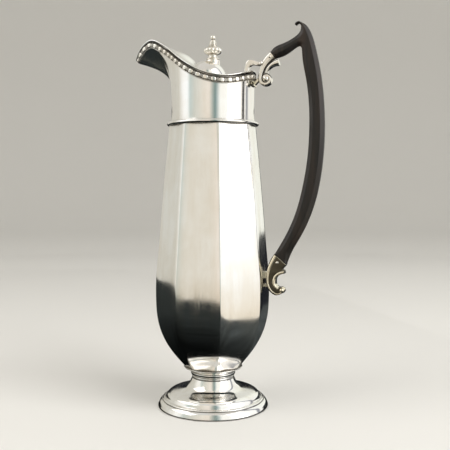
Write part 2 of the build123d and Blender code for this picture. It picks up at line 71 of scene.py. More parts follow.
# ---- Driving sizes of the jug itself ----
SHEET = 1.0
STEM_RADIUS = 18.3
STEM_BORE = 14.0
NECK_RADIUS = 35.2
NECK_FLARE = 1.5
NECK_STRAIGHT = (252.0, 262.0)      # heights between which the neck's wall is upright
RIM_RADIUS = 37.5
LIP_NOSE_ANGLE = 5.0                # degrees: how blunt the spout's tip is
LIP_SPREAD_ANGLE = 10.2             # degrees: how wide the spout is
BAND_DEPTH = 1.9                    # the border's room outside the neck's wall
BAND_HEIGHT = 5.2
BORDER_PITCH = 6.6                  # from one egg of the border to the next
RIM_LINE = [                # (x, height) of the rim seen square from the side
    (-68.7, 299.6), (-64.4, 305.9), (-60.0, 309.9), (-53.0, 312.8), (-43.1, 309.3), (-32.8, 302.5),
    (-22.8, 294.9), (-12.6, 287.9), (0.0, 281.3), (9.1, 278.5), (19.9, 277.6), (33.2, 281.8), (40.0, 286.4),
]
LIP_REACH = -RIM_LINE[0][0] - RIM_RADIUS
BODY_CORNERS = [            # (height, radius to the corners)
    (34.64, 24.6), (40.9, 30.1), (48.6, 36.2), (60.0, 42.9), (74.2, 47.6), (91.7, 49.3),
    (110.0, 49.2), (135.2, 47.1), (170.0, 44.2), (204.0, 41.1), (241.2, 37.4),
]
SADDLE_ANGLE = 14.0                 # degrees to each side of the neck's back
SADDLE_TOP = 277.6
LID_GAP = 0.9                       # between the rim and the lid's under side
LID_INSET = 0.6
LID_OVERHANG = 1.6                  # how far the lid passes the rim at the spout's tip
LID_EDGE = 0.45                     # round nose of the lid's edge
LID_HOLE = 1.8                      # radius of the hole for the finial's stud
DOME_X = -5.4
DOME_Z = 279.6
DOME_RADIUS = 17.0
DOME_SKIRT = 0.97           # part of the dome's radius at which a straight skirt leaves the sphere
KNOP = (301.4, 307.7)       # bottom and top of the finial's lobed knop
KNOP_LOBES = 9
KNOP_TURN = radians(195)
CONE = (307.9, 313.4)
CONE_RIB = 1.3
RIDGE_X = -21.0
RIDGE_HEIGHT = 5.4
RIDGE_LENGTH = 12.0
RIDGE_WIDTH = 11.0
DOME_LINE = 0.5             # softness of the line between dome and lid
KNUCKLE_RADIUS = 1.5
KNUCKLE_HALF = 2.9
KNUCKLE_OUTER = 5.8
KNUCKLE_GAP = 0.35
PIN_RADIUS = 0.7
PIN_CLEARANCE = 0.06
UPPER_JOINT = (Vector((50.1, 300.9)), Vector((53.9, 295.8)))
LOWER_JOINT = (Vector((54.4, 133.0)), Vector((64.4, 124.6)))


# ---- Curves ----
def smooth_curve(points):
    """Natural cubic spline through (t, value) points, straight beyond its ends."""
    ts = [t for t, value in points]
    vs = [value for t, value in points]
    count = len(points)
    widths = [ts[i + 1] - ts[i] for i in range(count - 1)]
    slopes = [(vs[i + 1] - vs[i]) / widths[i] for i in range(count - 1)]
    diagonal = [1.0] * count
    bends = [0.0] * count
    for i in range(1, count - 1):
        diagonal[i] = 2 * (widths[i - 1] + widths[i])
        bends[i] = 6 * (slopes[i] - slopes[i - 1])
        if i > 1:
            share = widths[i - 1] / diagonal[i - 1]
            diagonal[i] -= share * widths[i - 1]
            bends[i] -= share * bends[i - 1]
    for i in range(count - 2, 0, -1):
        bends[i] = (bends[i] - widths[i] * bends[i + 1]) / diagonal[i]

    def value_at(t):
        if t <= ts[0]:
            return vs[0] + (t - ts[0]) * (slopes[0] - widths[0] * bends[1] / 6)
        if t >= ts[-1]:
            return vs[-1] + (t - ts[-1]) * (slopes[-1] + widths[-1] * bends[-2] / 6)
        i = bisect_right(ts, t) - 1
        width = widths[i]
        a = (ts[i + 1] - t) / width
        b = (t - ts[i]) / width
        bend = (a ** 3 - a) * bends[i] + (b ** 3 - b) * bends[i + 1]
        return a * vs[i] + b * vs[i + 1] + bend * width * width / 6

    return value_at


def through(points, spacing):
    """Smooth line through points of any number of coordinates, as evenly spaced points."""
    distances = [0.0]
    for a, b in zip(points, points[1:]):
        distances.append(distances[-1] + hypot(b[0] - a[0], b[1] - a[1]))
    curves = [smooth_curve(list(zip(distances, values))) for values in zip(*points)]
    length = distances[-1]
    steps = max(2, round(length / spacing))
    return [tuple(curve(length * k / steps) for curve in curves) for k in range(steps + 1)]


def soften(points, radius, closed=True, steps=5):
    """Round every corner of a line of 2D points."""
    count = len(points)
    line = []
    for i in range(count):
        here = Vector(points[i])
        if not closed and i in (0, count - 1):
            line.append(tuple(here))
            continue
        before = Vector(points[i - 1]) - here
        after = Vector(points[(i + 1) % count]) - here
        start = here + before.normalized() * min(radius, 0.45 * before.length)
        end = here + after.normalized() * min(radius, 0.45 * after.length)
        for k in range(steps + 1):
            t = k / steps
            point = (1 - t) ** 2 * start + 2 * t * (1 - t) * here + t ** 2 * end
            line.append(tuple(point))
    return line


# ---- Meshes ----
class Shape:
    """Points and faces gathered before they become one mesh."""

    def __init__(self):
        self.points = []
        self.faces = []

    def add(self, points, faces):
        start = len(self.points)
        self.points.extend(points)
        self.faces.extend(tuple(start + i for i in face) for face in faces)
        return self

    def join(self, other):
        return self.add(other.points, other.faces)

    def grid(self, rows, close_rows=False, close_columns=False):
        """Rows of points joined by four-sided faces."""
        count, size = len(rows), len(rows[0])
        faces = []
        for i in range(count if close_rows else count - 1):
            here, after = i * size, (i + 1) % count * size
            for j in range(size if close_columns else size - 1):
                beside = (j + 1) % size
                faces.append((here + j, here + beside, after + beside, after + j))
        return self.add([p for row in rows for p in row], faces)

    def loop(self, rows):
        """Closed sections joined all the way round."""
        return self.grid(rows, close_rows=True, close_columns=True)

    def tube(self, rows):
        """Closed sections joined one after another, with flat ends."""
        start = len(self.points)
        size = len(rows[0])
        self.grid(rows, close_columns=True)
        for first in (start, start + (len(rows) - 1) * size):
            self.faces.append(tuple(range(first, first + size)))
        return self


def add_object(name, data):
    thing = bpy.data.objects.new(name, data)
    bpy.context.scene.collection.objects.link(thing)
    return thing


def new_mesh(name, shape, scale=1):
    mesh = bpy.data.meshes.new(name)
    mesh.from_pydata([Vector(p) * scale for p in shape.points], [], shape.faces)
    return mesh


def build_mesh(name, shape, scale, merge):
    """Mesh of a shape, with points nearer than merge made one and the faces turned outwards."""
    mesh = new_mesh(name, shape, scale)
    build = bmesh.new()
    build.from_mesh(mesh)
    bmesh.ops.remove_doubles(build, verts=build.verts, dist=merge)
    bmesh.ops.dissolve_degenerate(build, edges=build.edges, dist=merge)
    bmesh.ops.recalc_face_normals(build, faces=build.faces)
    build.to_mesh(mesh)
    build.free()
    return mesh


def make_piece(name, shape, material, body, node, crease=38):
    """A finished piece of one body, shown in place of a CAD node; edges over crease degrees are sharp."""
    mesh = build_mesh(name, shape, MM, 1e-7)
    mesh.shade_smooth()
    mesh.set_sharp_from_angle(angle=radians(crease))
    mesh.materials.append(material)
    piece = add_object(name, mesh)
    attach(piece, body)
    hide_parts(node)


def spun(profile, segments):
    """Copies of a (radius, height) profile all round the jug's axis."""
    angles = [2 * pi * k / segments for k in range(segments)]
    return [[(r * cos(a), r * sin(a), z) for r, z in profile] for a in angles]


def turned(profile, segments=160):
    return Shape().loop(spun(profile, segments))


def half_round(low, high, edge, shoulder, bore, spacing):
    """Section of a half-round moulding in a node's box, with shoulders (inwards, along) from its corners."""
    radius, bottom, top = high.x, low.z, high.z
    inwards, along = shoulder
    bulge = through([
        (edge, bottom), (radius - inwards, bottom + along), (radius, (bottom + top) / 2),
        (radius - inwards, top - along), (edge, top),
    ], spacing)
    return bulge + [(bore, top), (bore, bottom)]


def barrel(x, z, profile, segments=40, bored=False):
    """A small turned piece on an axis across the handle's plane; profile holds (radius, y)."""
    rows = [[(x + right, y, z + up) for right, up, y in row] for row in spun(profile, segments)]
    return Shape().grid(rows, close_rows=True, close_columns=bored)


def rod(x, z, radius, half):
    return barrel(x, z, [(0.0, -half), (radius, -half), (radius, half), (0.0, half)])


def inward_normals(outline):
    """Unit vectors into a closed outline, at each of its points."""
    following = outline[1:] + outline[:1]
    area = sum(a[0] * b[1] - b[0] * a[1] for a, b in zip(outline, following))
    way = copysign(1, area)
    normals = []
    for before, after in zip(outline[-1:] + outline[:-1], following):
        along = Vector(after) - Vector(before)
        along.normalize()
        normals.append(Vector((-along.y, along.x)) * way)
    return normals


FAR_ACROSS = 40.0           # more than any plate is wide


def depth_inside(outline, index, normal):
    """How far the outline's other side is from one of its points, looking inwards."""
    x, z = outline[index]
    count = len(outline)
    best = FAR_ACROSS
    for j in range(count):
        if j in (index, (index - 1) % count):
            continue
        x1, z1 = outline[j]
        x2, z2 = outline[(j + 1) % count]
        across = normal.x * (z2 - z1) - normal.y * (x2 - x1)
        if abs(across) < 1e-9:
            continue
        t = ((x1 - x) * (z2 - z1) - (z1 - z) * (x2 - x1)) / across
        s = ((x1 - x) * normal.y - (z1 - z) * normal.x) / across
        if t > 0.05 and 0 <= s <= 1:
            best = min(best, t)
    return best


def plate(outline, half, steps, bevel, share=0.4, blur=6, fixed=()):
    """A flat piece with shaped edges, either side of the handle's plane.

    half(z) is half its thickness at a height. steps are (part of the bevel's width, part of the
    half thickness) from the edge inwards. The bevel narrows where the piece is thin.
    """
    count = len(outline)
    normals = inward_normals(outline)
    insets = []
    for i in range(count):
        inset = min(bevel, share * depth_inside(outline, i, normals[i]))
        insets.append(0.0 if i in fixed else inset)
    smooth = []
    for i in range(count):
        near = [insets[(i + k) % count] for k in range(-blur, blur + 1)]
        smooth.append(min(insets[i], sum(near) / len(near)))
    rows = []
    for side in (-1, 1):
        stack = []
        for part, level in steps:
            row = []
            for i in range(count):
                x = outline[i][0] + normals[i].x * smooth[i] * part
                z = outline[i][1] + normals[i].y * smooth[i] * part
                row.append((x, side * level * half(z), z))
            stack.append(row)
        rows.extend(stack[::side])
    shape = Shape().grid(rows, close_columns=True)
    for first in (0, (len(rows) - 1) * count):
        flat = [Vector((p[0], p[2], 0)) for p in shape.points[first:first + count]]
        cap = tessellate_polygon([flat])
        shape.faces.extend(tuple(first + i for i in face) for face in cap)
    return shape


ROUND_EDGE = [(1 - cos(radians(15 * k)), sin(radians(15 * k))) for k in range(7)]


def round_steps(radius, half):
    """Steps of plate() for a quarter-round edge of a given radius."""
    return [(0, 0.0)] + [(part, 1 - (radius / half) * (1 - up)) for part, up in ROUND_EDGE]


def squared(value, power):
    """A sine or cosine drawn towards 1 or -1, which squares up an ellipse."""
    return copysign(abs(value) ** power, value)


def ribbon(spine, corner=0.55):
    """Cast scroll along a spine of (x, z, width, half thickness), with softened edges."""
    rows = []
    count = len(spine)
    for i in range(count):
        x, z, width, half = spine[i]
        before = spine[max(i - 1, 0)]
        after = spine[min(i + 1, count - 1)]
        along = Vector((after[0] - before[0], after[1] - before[1]))
        along.normalize()
        across = Vector((-along.y, along.x))
        row = []
        for k in range(40):
            a = pi * (k + 0.5) / 20
            u = squared(cos(a), corner) * width / 2
            v = squared(sin(a), corner) * half
            row.append((x + across.x * u, v, z + across.y * u))
        rows.append(row)
    return Shape().tube(rows)


def dome_cap(x, z, y, radius, rise, side, sink=0.4):
    """Round head standing out of a flat at y, towards side."""
    profile = [(0.0, side * (y - sink)), (radius, side * (y - sink)), (radius, side * y)]
    for k in range(1, 9):
        a = radians(90 * k / 8)
        profile.append((radius * cos(a), side * (y + rise * sin(a))))
    return barrel(x, z, profile, 36)


# ---- Shape functions of the rim, neck and lid ----
rim_line = smooth_curve(RIM_LINE)
body_corner = smooth_curve(BODY_CORNERS)


def lip_share(angle):
    """1 at the spout's tip, falling to 0 round the neck; angle in degrees from the spout."""
    rounded = sqrt(angle ** 2 + LIP_NOSE_ANGLE ** 2) - LIP_NOSE_ANGLE
    return exp(-rounded / LIP_SPREAD_ANGLE)


def rim_radius(angle):
    return RIM_RADIUS + LIP_REACH * lip_share(angle)


def collar_radius(angle):
    return rim_radius(angle) - BAND_DEPTH


def around(angle, radius, height):
    """Point at a signed angle from the spout's direction."""
    a = radians(angle)
    return Vector((-radius * cos(a), radius * sin(a), height))


def rim_height(angle):
    return rim_line(around(angle, collar_radius(angle), 0).x)


def band_height(angle):
    step = 0.5
    start = around(angle - step, collar_radius(angle - step), 0)
    end = around(angle + step, collar_radius(angle + step), 0)
    rise = rim_height(angle + step) - rim_height(angle - step)
    return BAND_HEIGHT * sqrt(1 + (rise / (end - start).length) ** 2)


def angles_round(count):
    """Signed angles all the way round, closer together near the spout's tip."""
    half = count // 2
    side = [180 * (k / half) ** 1.5 for k in range(half + 1)]
    return side[:-1] + [-a for a in reversed(side[1:])]


def neck_radius_at(angle, part, inward):
    share = lip_share(angle)
    radius = NECK_RADIUS - inward
    reach = collar_radius(angle) - inward - radius
    return radius + reach * part ** (2 + 2 * share)


def neck_side(angle, inward):
    """Upright line of the neck wall from the girdle to the rim; inward sets the wall's side."""
    share = lip_share(angle)
    top = rim_height(angle) - 0.4
    bend_top = rim_height(angle) - band_height(angle) + inward * share
    low, high = NECK_STRAIGHT
    bottom = NECK_LOW.z
    line = []
    for k in range(8):
        part = 1 - k / 8
        line.append((NECK_RADIUS - inward + NECK_FLARE * part ** 2, low - part * (low - bottom)))
    for k in range(6):
        line.append((NECK_RADIUS - inward, low + (high - low) * k / 6))
    steps = 26
    for k in range(steps + 1):
        part = sin(0.5 * pi * k / steps)
        line.append((neck_radius_at(angle, part, inward), high + part * (bend_top - high)))
    line.append((line[-1][0], 0.5 * (bend_top + top)))
    line.append((line[-1][0], top))
    return line


def dome_height(x, y, sheet):
    radius = DOME_RADIUS - sheet
    distance = hypot(x - DOME_X, y)
    skirt = DOME_SKIRT * radius
    if distance <= skirt:
        return DOME_Z + sqrt(radius ** 2 - distance ** 2)
    steepness = DOME_SKIRT / sqrt(1 - DOME_SKIRT ** 2)
    return DOME_Z + radius * sqrt(1 - DOME_SKIRT ** 2) - steepness * (distance - skirt)


def lid_height(x, y, sheet):
    """Height of the lid's upper side (sheet 0) or under side (sheet SHEET)."""
    ridge = RIDGE_HEIGHT * exp(-((x - RIDGE_X) / RIDGE_LENGTH) ** 2 - (y / RIDGE_WIDTH) ** 2)
    cover = rim_line(x) + LID_GAP + SHEET + ridge - sheet
    dome = dome_height(x, y, sheet)
    return 0.5 * (cover + dome + sqrt((cover - dome) ** 2 + DOME_LINE ** 2))


# ---- Materials ----
def new_material(name, kind="ShaderNodeBsdfPrincipled"):
    """A material with one shader node, and that node."""
    material = bpy.data.materials.new(name)
    material.use_nodes = True
    tree = material.node_tree
    tree.nodes.clear()
    shader = tree.nodes.new(kind)
    output = tree.nodes.new("ShaderNodeOutputMaterial")
    tree.links.new(shader.outputs[0], output.inputs["Surface"])
    return material, shader


def set_node(node, settings):
    """Set a node's inputs and properties; a value that is another node's output is linked."""
    for key, value in settings.items():
        if isinstance(value, bpy.types.NodeSocket):
            node.id_data.links.new(value, node.inputs[key])
        elif isinstance(key, int) or key in node.inputs:
            socket = node.inputs[key]
            socket.default_value = (*value, 1.0) if socket.type == "RGBA" else value
        else:
            setattr(node, key, value)


def add_node(tree, kind, output, settings):
    """One output of a new node."""
    node = tree.nodes.new(kind)
    set_node(node, settings)
    return node.outputs[output]


def stretched(tree, scale=(1, 1, 1), turn=(0, 0, 0)):
    """Object coordinates, scaled and turned."""
    place = add_node(tree, "ShaderNodeTexCoord", "Object", {})
    return add_node(tree, "ShaderNodeMapping", "Vector", {"Vector": place, "Scale": scale, "Rotation": turn})


def noise_at(tree, vector, scale=1.0, detail=4.0, rough=0.55):
    settings = {"Vector": vector, "Scale": scale, "Detail": detail, "Roughness": rough}
    return add_node(tree, "ShaderNodeTexNoise", "Fac", settings)


def ramp(tree, value, stops):
    colour = add_node(tree, "ShaderNodeValToRGB", "Color", {"Fac": value})
    elements = colour.node.color_ramp.elements
    while len(elements) < len(stops):
        elements.new(0.5)
    for element, (position, shade) in zip(elements, stops):
        element.position = position
        element.color = (*shade, 1.0)
    return colour


def remap(tree, value, low, high, to_low=0.0, to_high=1.0):
    limits = {"Value": value, "From Min": low, "From Max": high, "To Min": to_low, "To Max": to_high}
    return add_node(tree, "ShaderNodeMapRange", "Result", limits)


MIX_FIRST, MIX_SECOND = 6, 7    # a Mix node's inputs for its two colours
MIX_RESULT = 2                  # and its output for the blended one


def blend_colours(tree, factor, first, second):
    settings = {"data_type": "RGBA", "Factor": factor, MIX_FIRST: first, MIX_SECOND: second}
    return add_node(tree, "ShaderNodeMix", MIX_RESULT, settings)


def combine(tree, first, second, how="ADD"):
    return add_node(tree, "ShaderNodeMath", "Value", {"operation": how, 0: first, 1: second})


def multiply(tree, first, second):
    return combine(tree, first, second, "MULTIPLY")


def bump(tree, relief, strength, depth):
    settings = {"Height": relief, "Strength": strength, "Distance": depth}
    return add_node(tree, "ShaderNodeBump", "Normal", settings)


SCRATCHES = [               # scale and turn of the three sets of hairline scratches
    ((700, 700, 22), (0.3, 0.1, 0)),
    ((30, 900, 900), (0.2, 0.5, 0.9)),
    ((900, 45, 900), (1.1, 0, 0.4)),
]
SILVER_WARM_FILM = (0.90, 0.862, 0.80)
SILVER_CLEAN = (0.975, 0.967, 0.95)
# Dark brown of the tarnish in recesses, which also serves as painted shade there.
TARNISH_AND_SHADE = (0.11, 0.08, 0.05)
RECESS_DEPTH = 0.005        # how near another surface has to be for the tarnish and painted shade to darken a recess


def silver(name, polish=0.11, recess_tarnish_and_shade=0.7, hairlines=1.0, tone=(1.0, 1.0, 1.0)):
    """Hand-polished silver: fine hairline scratches, soft wear, and tarnish in the recesses, darkened
    further there as painted shade.
    """
    material, shader = new_material(name)
    tree = material.node_tree
    plain = stretched(tree)
    cloud = noise_at(tree, plain, 35.0, 5.0)
    fine = noise_at(tree, plain, 420.0, 3.0)
    worn = 0.0
    for scale, turn in SCRATCHES:
        lines = noise_at(tree, stretched(tree, scale, turn), 1.0, 3.0, 0.6)
        worn = combine(tree, remap(tree, lines, 0.62, 0.74), worn)
    # Darker where other surfaces are near: the tarnish real silver keeps in its recesses, strengthened as
    # painted shade.
    openness = add_node(tree, "ShaderNodeAmbientOcclusion", "AO", {"Distance": RECESS_DEPTH, "samples": 8})
    hollow = remap(tree, openness, 0.30, 0.90, 1.0, 0.0)
    tarnish_and_shade = multiply(tree, multiply(tree, hollow, remap(tree, cloud, 0.35, 0.65, 0.5, 1.0)), recess_tarnish_and_shade)
    warm = tuple(t * c for t, c in zip(tone, SILVER_WARM_FILM))
    bright = tuple(t * c for t, c in zip(tone, SILVER_CLEAN))
    film = noise_at(tree, stretched(tree, (90, 90, 9)), 1.0, 4.0, 0.6)
    veil = remap(tree, multiply(tree, cloud, film), 0.14, 0.34)
    clean = blend_colours(tree, veil, warm, bright)
    rough = remap(tree, veil, 0.0, 1.0, polish * 1.4, polish * 0.75)
    rough = combine(tree, rough, remap(tree, worn, 0.0, 1.0, 0.0, 0.05))
    relief = combine(tree, multiply(tree, worn, -0.6 * hairlines), fine)
    set_node(shader, {
        "Base Color": blend_colours(tree, tarnish_and_shade, clean, TARNISH_AND_SHADE),
        "Metallic": 1.0,
        "Roughness": combine(tree, rough, multiply(tree, tarnish_and_shade, 0.35)),
        "Normal": bump(tree, relief, 0.10, 0.00006),
    })
    return material


EBONY_GRAIN = [(0.32, (0.005, 0.004, 0.0035)), (0.55, (0.011, 0.008, 0.006)), (0.75, (0.026, 0.018, 0.013))]
EBONY_STREAK = (0.034, 0.019, 0.012)


def ebony():
    """Waxed ebony: near-black with brown streaks along the grain, open pores and a soft sheen."""
    material, shader = new_material("ebony")
    tree = material.node_tree
    grain = noise_at(tree, stretched(tree, (420, 420, 14)), 1.0, 6.0, 0.62)
    streak = noise_at(tree, stretched(tree, (110, 110, 6)))
    pores = noise_at(tree, stretched(tree, (1500, 1500, 90)), 1.0, 2.0)
    warm = remap(tree, streak, 0.5, 0.72, 0.0, 0.55)
    relief = combine(tree, remap(tree, pores, 0.6, 0.75, 0.0, -1.0), multiply(tree, grain, 0.5))
    set_node(shader, {
        "Base Color": blend_colours(tree, warm, ramp(tree, grain, EBONY_GRAIN), EBONY_STREAK),
        "Specular IOR Level": 0.38,
        "Coat Weight": 0.08,
        "Coat Roughness": 0.22,
        "Roughness": remap(tree, grain, 0.3, 0.7, 0.27, 0.42),
        "Normal": bump(tree, relief, 0.25, 0.00012),
    })
    return material


SILVER = silver("silver_polished")
SILVER_CAST = silver("silver_cast", polish=0.14, recess_tarnish_and_shade=1.0, hairlines=0.6, tone=(0.93, 0.905, 0.86))
SILVER_SHADED = silver("silver_shaded", polish=0.22, recess_tarnish_and_shade=0.9, hairlines=0.4, tone=(0.10, 0.095, 0.085))
# Near-black olive copy of the silver, used on the lower scroll's ground as painted shade.
SILVER_SHADED_OLIVE = silver("silver_shaded_olive", polish=0.26, recess_tarnish_and_shade=0.6, hairlines=0.4, tone=(0.115, 0.105, 0.08))
SILVER_WARM = silver("silver_warm", polish=0.16, recess_tarnish_and_shade=0.6, hairlines=0.5, tone=(0.92, 0.87, 0.73))
SILVER_INNER = silver("silver_inside", polish=0.24, recess_tarnish_and_shade=0.6)
EBONY = ebony()


# ---- Foot and stem ----
def make_foot_wire():
    radius, top = WIRE_HIGH.x, WIRE_HIGH.z
    outer = through([
        (radius - 0.4, 0), (radius - 0.05, 0.1 * top), (radius - 0.5, 0.4 * top), (radius - 1.6, 0.75 * top),
        (radius - 3.2, top),
    ], 0.3)
    section = outer + soften([(radius - 3.2, top), (radius - 5, top), (radius - 5, 0.0)], 0.3, closed=False)
    make_piece("foot_wire_moulding", turned(section, 224), SILVER, JUG, "foot_rim_wire")


def make_foot():
    step = FOOT_LOW.z
    edge = FOOT_HIGH.x
    top = FOOT_HIGH.z
    stem = STEM_RADIUS
    bead = [(edge, step), (edge + 0.35, step + 0.5), (edge, step + 1.05), (edge - 1.4, step + 1.3)]
    dome = [
        (40.9, step + 1.5), (40.4, 8.7), (39.9, 10.1), (38.7, 11.6), (36.4, 12.9), (33.0, 13.7),
        (28.8, 14.4), (25.2, 15.4), (22.6, 17.0), (20.8, 19.3), (19.4, 22.1), (stem, top),
    ]
    hollow = [
        (stem - SHEET, top), (18.5, 19.8), (20.5, 15.9), (23.8, 13.8), (29.0, 12.9),
        (33.6, 11.9), (37.6, 10.2), (40.2, step),
    ]
    section = through(bead, 0.25) + through(dome, 0.5) + through(hollow, 0.8)
    make_piece("foot_dome", turned(section, 224), SILVER, JUG, "foot")


def make_stem_rings():
    for name in ("stem_ring_lower", "stem_ring_upper"):
        low, high = node_box(name)
        section = half_round(low, high, high.x - 1.6, (0.25, 0.5), STEM_BORE, 0.2)
        make_piece(name + "_bead", turned(section), SILVER, JUG, name)


def make_cup():
    bottom, top, radius = CUP_LOW.z, CUP_HIGH.z, CUP_HIGH.x
    lip = [(radius - 0.4, top - 0.9), (radius, top - 0.35), (radius - 0.5, top), (radius - 1.4, top)]
    outer = through([(19.6, bottom), (21.0, 31.6), (23.0, 32.9), lip[0]], 0.4) + through(lip, 0.15)
    floor = bottom + SHEET
    inner = [(21.6, top), (21.2, 33.4), (20.2, 32.3), (19.0, floor), (STEM_BORE, floor), (STEM_BORE, bottom)]
    make_piece("stem_cup", turned(outer + inner), SILVER, JUG, "body_cup")


# ---- Octagonal body ----
CORNER_ROUND = 2.0
FACET_CROWN = 0.55         # hammered facets swell a little and turn in near their edges
CROWN_POWER = 7


def facet_wave(x, y, z):
    """Slight unevenness of hand-raised sheet."""
    point = Vector((x, y, 0.6 * z)) / 26.0
    return 0.055 * noise.noise(point) + 0.02 * noise.noise(point * 2.7)


def octagon_ring(height, corner, flat_steps=22, arc_steps=6):
    """Octagon with rounded corners and slightly crowned facets."""
    ring = []
    half_turn = radians(22.5)
    apothem = corner * cos(half_turn)
    centre = corner - CORNER_ROUND / cos(half_turn)
    side = 2 * (centre * sin(half_turn))
    for k in range(8):
        corner_angle = radians(22.5 + 45 * k)
        middle = Vector((centre * cos(corner_angle), centre * sin(corner_angle)))
        for j in range(arc_steps + 1):
            a = corner_angle - half_turn + 2 * half_turn * j / arc_steps
            ring.append(middle + CORNER_ROUND * Vector((cos(a), sin(a))))
        facet_angle = corner_angle + half_turn
        out = Vector((cos(facet_angle), sin(facet_angle)))
        along = Vector((-out.y, out.x))
        for j in range(1, flat_steps):
            t = 0.5 - 0.5 * cos(pi * j / flat_steps)
            crown = FACET_CROWN * (1 - abs(2 * t - 1) ** CROWN_POWER)
            ring.append(out * (apothem + crown) + along * side * (t - 0.5))
    for point in ring:
        point *= 1 + facet_wave(point.x, point.y, height) / point.length
    return [(point.x, point.y, height) for point in ring]


def make_body():
    bottom, top = BODY_LOW.z, BODY_HIGH.z
    steps = 130
    outer, inner = [], []
    for k in range(steps + 1):
        z = bottom + (top - bottom) * (k / steps) ** 1.25
        lean = body_corner(z + 0.5) - body_corner(z - 0.5)
        outer.append(octagon_ring(z, body_corner(z)))
        inner.append(octagon_ring(z, body_corner(z) - SHEET * sqrt(1 + lean ** 2)))
    make_piece("body_shell", Shape().loop(outer + inner[::-1]), SILVER, JUG, "body", crease=50)


def make_girdle():
    inside = 37.45          # close round the joint of body and neck
    section = half_round(*node_box("girdle_wire"), inside + 0.4, (0.45, 0.6), inside, 0.15)
    make_piece("girdle_moulding", turned(section, 200), SILVER, JUG, "girdle_wire")


# ---- Neck, spout and border ----
def make_neck():
    rows = []
    for angle in angles_round(288):
        section = neck_side(angle, 0) + neck_side(angle, SHEET)[::-1]
        rows.append([around(angle, r, z) for r, z in section])
    make_piece("neck_and_spout", Shape().loop(rows), SILVER, JUG, "neck")


def border_path():
    """Centre line of the border on the neck's collar, with its length and frames."""
    points = []
    for angle in angles_round(720):
        point = around(angle, collar_radius(angle) + 0.1, 0)
        point.z = rim_line(point.x) - band_height(angle) / 2
        points.append(point)
    count = len(points)
    frames = []
    length = 0.0
    for i in range(count):
        along = (points[(i + 1) % count] - points[i - 1]).normalized()
        flat = Vector((along.x, along.y, 0)).normalized()
        out = Vector((-flat.y, flat.x, 0))
        frames.append((length, points[i], out, along.cross(out)))
        length += (points[(i + 1) % count] - points[i]).length
    return frames, length


def make_border():
    """Egg-and-reel border: a dark ground with a rail along its foot, and the bosses that stand on it."""
    frames, length = border_path()
    starts = [frame_row[0] for frame_row in frames]

    def place(s, out, up):
        """Point at a distance along the border, out from the neck's wall and up the band."""
        s = s % length
        low = bisect_right(starts, s) - 1
        high = (low + 1) % len(frames)
        end = starts[high] if high else length
        t = (s - starts[low]) / (end - starts[low])
        parts = [frames[low][k].lerp(frames[high][k], t) for k in (1, 2, 3)]
        return parts[0] + parts[1].normalized() * out + parts[2].normalized() * up

    edge = BAND_HEIGHT / 2
    rail = 0.32
    ground = 0.5
    band = [(0.0, -edge), (ground, -edge), (ground, edge), (0.0, edge)]
    rows = [[place(s, out, up) for out, up in band] for s in starts]
    make_piece("border_ground", Shape().loop(rows), SILVER_SHADED, JUG, "rim_border")

    bead = []
    for k in range(10):
        a = radians(36 * k)
        bead.append((ground + rail * cos(a), rail - edge + rail * sin(a)))
    shape = Shape().loop([[place(s, out, up) for out, up in bead] for s in starts])
    units = round(length / BORDER_PITCH)
    pitch = length / units
    height = BAND_HEIGHT - 2 * rail - 0.7
    for unit in range(units):
        centre = unit * pitch
        bosses = [(centre, 0.70 * pitch, height, 1.32)]
        for way in (-1, 1):
            bosses.append((centre + pitch / 2 + 0.075 * way * pitch, 0.09 * pitch, 0.94 * height, 1.0))
        for s, long, high, rise in bosses:
            base = len(shape.points)
            rings = boss_grid(place, (s, -0.1), long, high, ground - 0.05, rise)
            shape.grid(rings, close_columns=True)
            shape.faces.append(tuple(range(base, base + len(rings[0]))))
    make_piece("egg_and_reel_border", shape, SILVER_CAST, JUG, "rim_border")


def boss_grid(place, centre, long, high, sink, rise):
    """Low boss on the border with a nearly flat face, long along it and high across it."""
    s, up = centre
    grid = []
    for i in range(9):
        a = radians(90 * i / 8)
        reach = cos(a) ** 0.42
        ring = []
        for j in range(20):
            b = 2 * pi * j / 20
            along = 0.5 * long * reach * squared(cos(b), 0.7)
            across = 0.5 * high * reach * squared(sin(b), 0.7)
            ring.append(place(s + along, sink + rise * sin(a), up + across))
        grid.append(ring)
    return grid


# ---- Neck bracket ----
def make_bracket():
    """Saddle on the back of the neck and the gusset from it to the scroll."""
    bottom = node_box("neck_bracket")[0].z
    inside, outside = NECK_RADIUS + 0.75, NECK_RADIUS + 1.9
    steps = 24
    rows = []
    for k in range(steps + 1):
        t = 2 * k / steps - 1
        half = 0.5 * (SADDLE_TOP - bottom) * (0.45 + 0.55 * cos(0.5 * pi * t))
        middle = 0.5 * (SADDLE_TOP + bottom)
        low, high = middle - half, middle + half
        corners = [(inside, low), (outside, low), (outside, high), (inside, high)]
        rows.append([around(180 + SADDLE_ANGLE * t, r, z) for r, z in soften(corners, 0.4)])
    shape = Shape().tube(rows)
    lower = through([(36.3, 273.4), (38.2, 275.4), (40.4, 277.6), (42.0, 281.0)], 0.4)
    upper = [(38.8, 279.4), (37.2, SADDLE_TOP), (36.3, SADDLE_TOP)]
    gusset = plate(lower + upper, lambda z: 2.6, round_steps(0.6, 2.6), 0.6, share=0.3, blur=1)
    make_piece("neck_gusset", shape.join(gusset), SILVER_WARM, JUG, "neck_bracket")


# ---- Lid ----
def lid_point(angle, radius, sheet=0.0, drop=0.0):
    """Point of the lid's upper side (sheet 0) or under side (sheet SHEET), lowered by drop."""
    point = around(angle, radius, 0)
    point.z = lid_height(point.x, point.y, sheet) - drop
    return point


